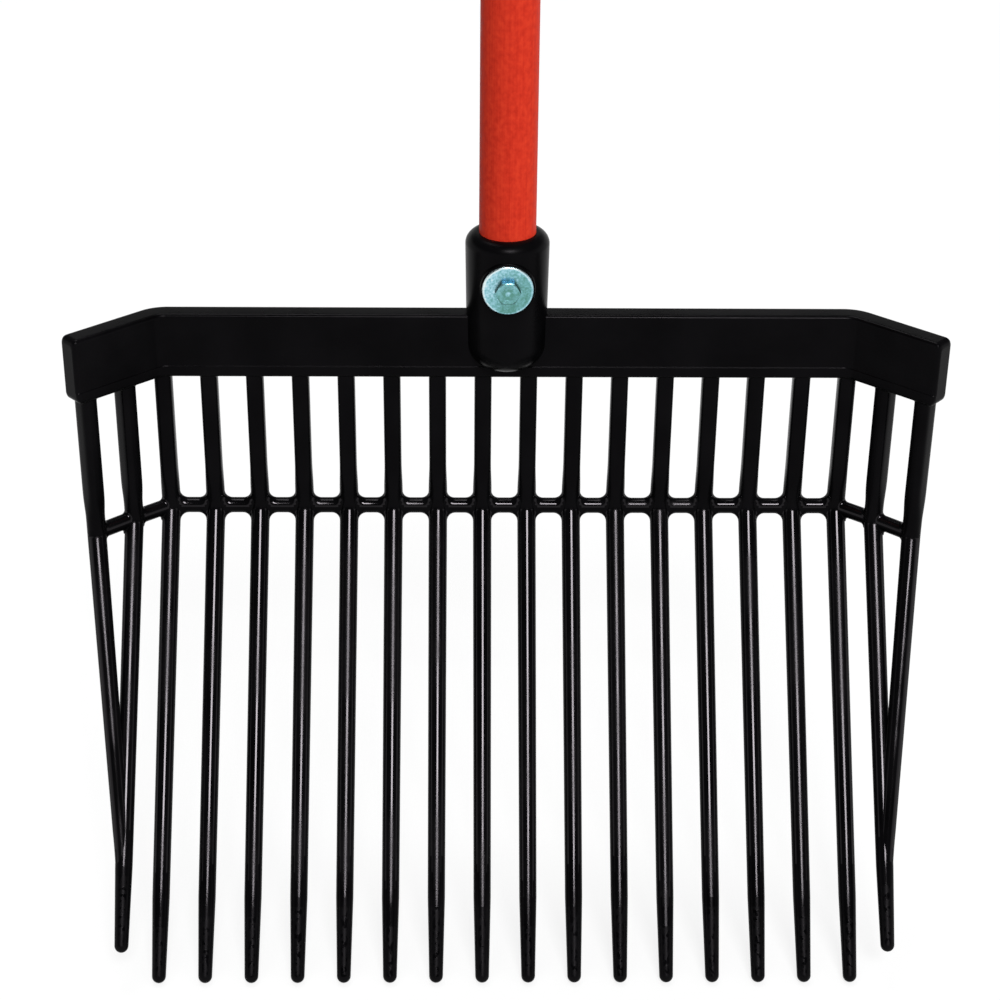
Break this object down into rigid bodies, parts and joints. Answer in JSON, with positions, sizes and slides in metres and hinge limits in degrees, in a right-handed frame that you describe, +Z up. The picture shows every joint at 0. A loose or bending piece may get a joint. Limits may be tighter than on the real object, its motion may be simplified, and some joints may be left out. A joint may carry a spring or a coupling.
{
  "type": "manure fork",
  "caption": "Long-handled stable fork with a moulded basket head of slim bent tines, a folded wing at each side, and a round handle bolted into a socket.",
  "frame": {"origin": "on the handle's axis, in the plane of the socket's mouth", "axes": "+Z up the handle, -Y towards the load side of the basket, +X to the right seen from the load side"},
  "size_m": [0.434, 0.1879, 1.4993],
  "materials": {
    "head_plastic": "black injection-moulded polycarbonate, satin gloss",
    "handle_fibreglass": "orange-red pultruded fibreglass, satin",
    "zinc": "steel with bright blue-green passivated zinc plating",
    "core_plug": "plain turned dowel",
    "cap_plastic": "black moulded plastic"
  },
  "bodies": {
    "root": {"handle_tube": "handle_fibreglass", "handle_core": "core_plug", "handle_end_cap": "cap_plastic", "handle_socket": "head_plastic", "socket_bolt": "zinc", "front_washer": "zinc", "rear_washer": "zinc", "lock_nut": "zinc", "head_bar": "head_plastic", "left_wing_bar": "head_plastic", "right_wing_bar": "head_plastic", "stringer": "head_plastic", "left_wing_stringer": "head_plastic", "right_wing_stringer": "head_plastic", "rib_01": "head_plastic", "rib_02": "head_plastic", "rib_03": "head_plastic", "rib_04": "head_plastic", "rib_05": "head_plastic", "rib_06": "head_plastic", "rib_07": "head_plastic", "rib_08": "head_plastic", "rib_09": "head_plastic", "rib_10": "head_plastic", "rib_11": "head_plastic", "rib_12": "head_plastic", "rib_13": "head_plastic", "rib_14": "head_plastic", "rib_15": "head_plastic", "rib_16": "head_plastic", "rib_17": "head_plastic", "rib_18": "head_plastic", "rib_19": "head_plastic", "rib_20": "head_plastic", "tine_01": "head_plastic", "tine_02": "head_plastic", "tine_03": "head_plastic", "tine_04": "head_plastic", "tine_05": "head_plastic", "tine_06": "head_plastic", "tine_07": "head_plastic", "tine_08": "head_plastic", "tine_09": "head_plastic", "tine_10": "head_plastic", "tine_11": "head_plastic", "tine_12": "head_plastic", "tine_13": "head_plastic", "tine_14": "head_plastic", "tine_15": "head_plastic", "tine_16": "head_plastic", "tine_17": "head_plastic", "tine_18": "head_plastic", "tine_19": "head_plastic", "tine_20": "head_plastic"}
  },
  "joints": []
}
